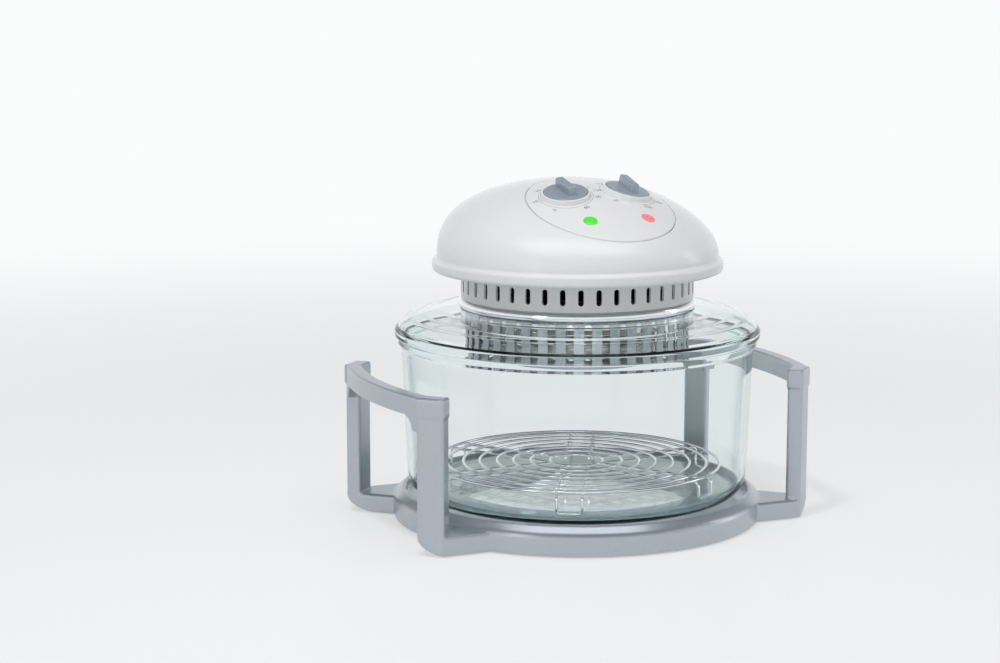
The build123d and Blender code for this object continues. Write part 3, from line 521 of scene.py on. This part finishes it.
def add_lid():
    low, high = [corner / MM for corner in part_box("glass_lid")]
    rim = high.x
    neck = 102.3
    skirt_low = 179.4
    sheet_thickness = 3.2
    rim_width = 8.0
    outside = rounded(scaled([
        (neck, skirt_low, 0),
        (neck, high.z - 0.7, 4.6),
        (126.0, 192.0, 40),
        (142.0, 188.8, 30),
        (153.6, 185.0, 14),
        (162.7, 178.0, 9),
        (rim, low.z + 7.2, 2.5),
        (rim, low.z, 2.5),
        (rim - rim_width, low.z, 0),
    ]), closed=False)
    sheet = [place for place in outside if place.y > (low.z + 8.4) * MM]
    inside = drawn_in(sheet, sheet_thickness * MM)
    under_rim = rounded(scaled([
        (rim - rim_width, low.z, 0),
        (rim - rim_width, low.z + 5.4, 1.5),
        (*(inside[-1] / MM), 0),
    ]), closed=False)
    outline = outside + under_rim[1:-1] + inside[::-1]
    add_piece("lid", turned([outline]), "clear_glass", "lid", "glass_lid")


# ---- Rack ----
wire_radius = 1.25 * MM
ring_radii = [value * MM for value in (24.3, 42.0, 58.0, 73.0, 89.0, 104.0, 119.0, 131.0)]
spoke_half = 11.0 * MM
leg_radius = 134.5 * MM
wire_bend = 3.5 * MM
leg_count = 6
wire_sides = 14
weld_stretch = (1.15, 1.15, 0.7, 1)
leg_phase = math.radians(-118)


def wire_section(radius, height):
    """A round wire's section, at a radius and height."""
    return [
        (radius + wire_radius * math.cos(a), height + wire_radius * math.sin(a))
        for a in full_turn(wire_sides)
    ]


def add_rack():
    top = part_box("rack_rings")[1].z
    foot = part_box("rack_legs")[0].z + wire_radius
    ring_z = top - wire_radius
    spoke_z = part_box("rack_legs")[1].z - wire_radius
    shape = turned([wire_section(radius, ring_z) for radius in ring_radii])
    add_piece("rack_rings", shape, "chrome_wire", "rack", "rack_rings")
    start = math.sqrt(ring_radii[0] ** 2 - spoke_half ** 2) - wire_radius
    route = rounded([
        ((start, -spoke_half, spoke_z), 0),
        ((leg_radius, -spoke_half, spoke_z), wire_bend),
        ((leg_radius, -spoke_half, foot), wire_bend),
        ((leg_radius, spoke_half, foot), wire_bend),
        ((leg_radius, spoke_half, spoke_z), wire_bend),
        ((start, spoke_half, spoke_z), 0),
    ], closed=False)
    turns = [Matrix.Rotation(leg_phase + turn, 3, "Z") for turn in full_turn(leg_count)]
    paths = [[turn @ place for place in route] for turn in turns]
    add_piece("rack_legs", wires(paths, wire_radius), "chrome_wire", "rack", "rack_legs")
    add_welds(turns, (ring_z + spoke_z) / 2)


def add_welds(turns, height):
    """A small bead of metal wherever a ring lies on a spoke."""
    welds = bmesh.new()
    for turn in turns:
        for radius in ring_radii:
            for side in (1, -1):
                reach = math.sqrt(radius ** 2 - spoke_half ** 2)
                place = turn @ Vector((reach, side * spoke_half, height))
                flat = Matrix.Translation(place) @ Matrix.Diagonal(weld_stretch)
                bmesh.ops.create_icosphere(welds, subdivisions=2, radius=wire_radius, matrix=flat)
    add_piece("rack_welds", welds, "chrome_wire", "rack")


# ---- Dome and panel ----
dome_radius = 127.6 * MM
dome_base = 240.1 * MM
dome_rise = 67.5 * MM
dome_power = 2 / 2.13
dome_lean = 20.8 * MM
dome_lean_power = 7.5
dome_wall = 3.4 * MM
panel_centre = Vector((0, -46.6 * MM))
panel_radius = 66.9 * MM
panel_gap = 0.9 * MM
panel_sheet = 1.4 * MM
edge_round = 0.8 * MM
inlet_gap = 0.3 * MM
pocket_depth = 2.0 * MM
edge_steps = ((0.4, 0.08), (0.1, 0.35), (0, 1.0))
skin_rows = 56
inner_rows = 24
panel_rows = 26
skirt_neck_z = 238.2
skirt_top_z = 236.0
knob_place = Vector((30 * MM, -38.5 * MM))
lamp_place = Vector((28 * MM, -84.7 * MM))


def dome_point(rise_angle, direction, inset=0.0):
    """A point of the dome's skin. rise_angle is 0 at its top and a quarter turn at its base."""
    spread = math.sin(rise_angle)
    back = dome_lean * (1 - spread ** dome_lean_power)
    radius = (dome_radius - inset) * spread
    height = dome_base + (dome_rise - inset) * max(0.0, math.cos(rise_angle)) ** dome_power
    return Vector((radius * math.cos(direction), back + radius * math.sin(direction), height))


def dome_over(x, y):
    """The dome's rise angle and direction over a place in the plan, by halving."""
    low = 0.0
    high = math.pi / 2
    for _ in range(40):
        middle = (low + high) / 2
        spread = math.sin(middle)
        back = dome_lean * (1 - spread ** dome_lean_power)
        if math.hypot(x, y - back) < dome_radius * spread:
            high = middle
        else:
            low = middle
    return middle, math.atan2(y - back, x)


def dome_height(x, y):
    return dome_point(*dome_over(x, y)).z


def dome_seat(x, y):
    """The frame that touches the dome's skin over a place in the plan."""
    step = 0.5 * MM
    slope_x = (dome_height(x + step, y) - dome_height(x - step, y)) / (2 * step)
    slope_y = (dome_height(x, y + step) - dome_height(x, y - step)) / (2 * step)
    up = Vector((-slope_x, -slope_y, 1)).normalized()
    across = Vector((1, 0, slope_x)).normalized()
    turn = Matrix((across, up.cross(across), up)).transposed().to_4x4()
    return Matrix.Translation((x, y, dome_height(x, y))) @ turn


def panel_ring(radius, drop, turns):
    """Places on a circle round the panel's middle, at a drop below the dome's skin."""
    places = []
    for turn in turns:
        x = panel_centre.x + radius * math.cos(turn)
        y = panel_centre.y + radius * math.sin(turn)
        places.append(Vector((x, y, dome_height(x, y) - drop)))
    return places


def add_dome():
    turns = full_turn(lathe_steps)
    rows = [panel_ring(panel_radius, pocket_depth, turns)]
    for reach, drop in reversed(edge_steps):
        rows.append(panel_ring(panel_radius + reach * edge_round, drop * edge_round, turns))
    edge = panel_radius + edge_round
    starts = []
    for turn in turns:
        start_x = panel_centre.x + edge * math.cos(turn)
        start_y = panel_centre.y + edge * math.sin(turn)
        rise, direction = dome_over(start_x, start_y)
        starts.append(Vector((math.cos(direction), math.sin(direction))) * rise)
    for row in range(skin_rows + 1):
        share = row / skin_rows
        places = []
        for turn, start in zip(turns, starts):
            end = Vector((math.cos(turn), math.sin(turn))) * math.pi / 2
            mixed = start.lerp(end, share)
            places.append(dome_point(min(mixed.length, math.pi / 2), math.atan2(mixed.y, mixed.x)))
        rows.append(places)
    low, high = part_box("dome_cover")
    skirt = high.x / MM
    inner = (dome_radius - dome_wall) / MM
    profile = rounded(scaled([
        (dome_radius / MM, dome_base / MM, 0),
        (dome_radius / MM, skirt_neck_z, 2.0),
        (skirt, skirt_top_z, 3.0),
        (skirt, low.z / MM, 3.5),
        (inner, low.z / MM, 0.8),
        (inner, dome_base / MM, 0),
    ]), closed=False)
    for radius, height in profile[1:]:
        rows.append([Vector((radius * math.cos(a), radius * math.sin(a), height)) for a in turns])
    for row in range(1, inner_rows):
        rise = math.pi / 2 * (1 - row / inner_rows)
        rows.append([dome_point(rise, turn, dome_wall) for turn in turns])
    shape = bmesh.new()
    rings = [[shape.verts.new(place) for place in row] for row in rows]
    rings.append([shape.verts.new(dome_point(0, 0, dome_wall))])
    add_rings(shape, rings, False)
    middle = shape.verts.new((*panel_centre, dome_height(*panel_centre) - pocket_depth))
    add_rings(shape, [[middle], rings[0]], False)
    inlet_low, inlet_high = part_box("power_inlet")
    gap = Vector((inlet_gap, 0, inlet_gap))
    past = Vector((0, inlet_high.y - inlet_low.y, 0))
    made = cut_box(shape, inlet_low - gap, inlet_high + gap + past)
    add_piece("dome", made, "white_plastic", "lid", "dome_cover")


def add_panel():
    turns = full_turn(lathe_steps)
    rim = panel_radius - panel_gap
    spans = [(rim - edge_round) * k / panel_rows for k in range(1, panel_rows + 1)]
    shape = bmesh.new()
    centre_z = dome_height(*panel_centre)
    rings = [[shape.verts.new((*panel_centre, centre_z))]]
    for radius in spans:
        rings.append([shape.verts.new(place) for place in panel_ring(radius, 0, turns)])
    for reach, drop in edge_steps:
        places = panel_ring(rim - reach * edge_round, drop * edge_round, turns)
        rings.append([shape.verts.new(place) for place in places])
    rings.append([shape.verts.new(place) for place in panel_ring(rim, panel_sheet, turns)])
    rings.append([shape.verts.new((*panel_centre, centre_z - panel_sheet))])
    add_rings(shape, rings, False)
    add_piece("panel", shape, "white_plastic", "lid", "control_panel")


def seated(shape, seat):
    """A bmesh moved to a seat on the dome."""
    bmesh.ops.transform(shape, matrix=seat, verts=shape.verts)
    return shape


def add_bezel(name, seat):
    """The bevelled ring round a knob."""
    outline = rounded(scaled([
        (5.8, 0.6, 0), (20.0, 0.6, 0.3), (20.0, 3.3, 0.5), (21.6, 3.3, 0.7), (22.9, -1.6, 0), (5.8, -1.6, 0),
    ]))
    add_piece(name, seated(turned([outline], 128), seat), "white_plastic", "lid")


def add_lens(name, node, slot, seat):
    outline = rounded(scaled([(0, 0.95, 0), (3.6, 0.8, 8), (6.4, 0.25, 0.5), (6.4, -3.4, 0), (0, -3.4, 0)]))
    add_piece(name, seated(turned([outline], 96), seat), slot, "lid", node)


# ---- Dial marks ----
mark_lift = 0.04 * MM
mark_line = 0.35 * MM
mark_circle = 24.1 * MM
number_circle = 28.4 * MM
number_size = 5.6 * MM
mark_steps = 128
dial_start = 225
dial_end = -75
grip_voxel = 0.4 * MM
grip_passes = 3


def add_circle_mark(name, middle):
    """A thin printed circle round a knob."""
    shape = bmesh.new()
    rings = []
    for radius in (mark_circle, mark_circle + mark_line):
        ring = []
        for turn in full_turn(mark_steps):
            x = middle.x + radius * math.cos(turn)
            y = middle.y + radius * math.sin(turn)
            ring.append(shape.verts.new((x, y, dome_height(x, y) + mark_lift)))
        rings.append(ring)
    add_rings(shape, rings, False)
    add_piece(name, shape, "print_ink", "lid")


def number_mesh(words, x, y):
    """Printed figures that lie on the panel, centred over a place in the plan."""
    curve = bpy.data.curves.new("words", "FONT")
    curve.body = words
    curve.size = number_size
    curve.align_x = "CENTER"
    curve.align_y = "CENTER"
    made = final_mesh(add_draft(curve))
    for vertex in made.vertices:
        vertex.co.x += x
        vertex.co.y += y
        vertex.co.z = dome_height(vertex.co.x, vertex.co.y) + mark_lift
    return made


def add_numbers(name, middle, figures, first, last):
    """A dial's figures, spread evenly between two directions, in degrees from +X."""
    shape = bmesh.new()
    for i, words in enumerate(figures):
        turn = math.radians(first + (last - first) * i / (len(figures) - 1))
        mesh = number_mesh(words, middle.x + number_circle * math.cos(turn),
                           middle.y + number_circle * math.sin(turn))
        shape.from_mesh(mesh)
        bpy.data.meshes.remove(mesh)
    add_piece(name, shape, "print_ink", "lid")


def add_controls():
    for side, name, body, figures in (
        (-1, "timer", "timer", ("0", "10", "20", "30", "40", "50", "60")),
        (1, "temperature", "temperature", ("65", "100", "125", "150", "175", "200", "250")),
    ):
        middle = Vector((side * knob_place.x, knob_place.y))
        add_bezel(name + "_bezel", dome_seat(*middle))
        add_circle_mark(name + "_circle", middle)
        add_numbers(name + "_numbers", middle, figures, dial_start, dial_end)
        moulded(name + "_grip", [name + "_knob"], "knob_plastic", body, grip_voxel, grip_passes)
    add_lens("power_lamp", "power_lens", "green_lens", dome_seat(-lamp_place.x, lamp_place.y))
    add_lens("heat_lamp", "heat_lens", "red_lens", dome_seat(lamp_place.x, lamp_place.y))


# ---- Stand and neck ----
stand_voxel = 0.9 * MM
stand_passes = 6


def add_stand():
    """The ring and both handles, blended into each other."""
    nodes = ["stand_ring", "handle_left", "handle_right"]
    moulded("stand", nodes, "silver_paint", "stand", stand_voxel, stand_passes)


def add_neck_ring():
    low, high = [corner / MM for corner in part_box("clamp_ring")]
    bead = 4.6
    inner = 101.4
    middle = (low.z + high.z) / 2
    turns = [math.radians(a) for a in range(-112, 113, 8)]
    circle = high.x - bead
    outline = [((circle + bead * math.cos(a)) * MM, (middle + bead * math.sin(a)) * MM) for a in turns]
    outline += [(inner * MM, (high.z - 0.3) * MM), (inner * MM, (low.z + 1.2) * MM)]
    add_piece("neck_bead", turned([outline]), "bright_ring", "lid", "clamp_ring")


add_camera()
add_world()
add_lamps()
add_floor()
materials = make_materials()
dress_cad_nodes(materials)
add_bowl()
add_lid()
add_rack()
add_dome()
add_panel()
add_controls()
add_stand()
add_neck_ring()

bpy.context.scene.view_settings.view_transform = "Standard"
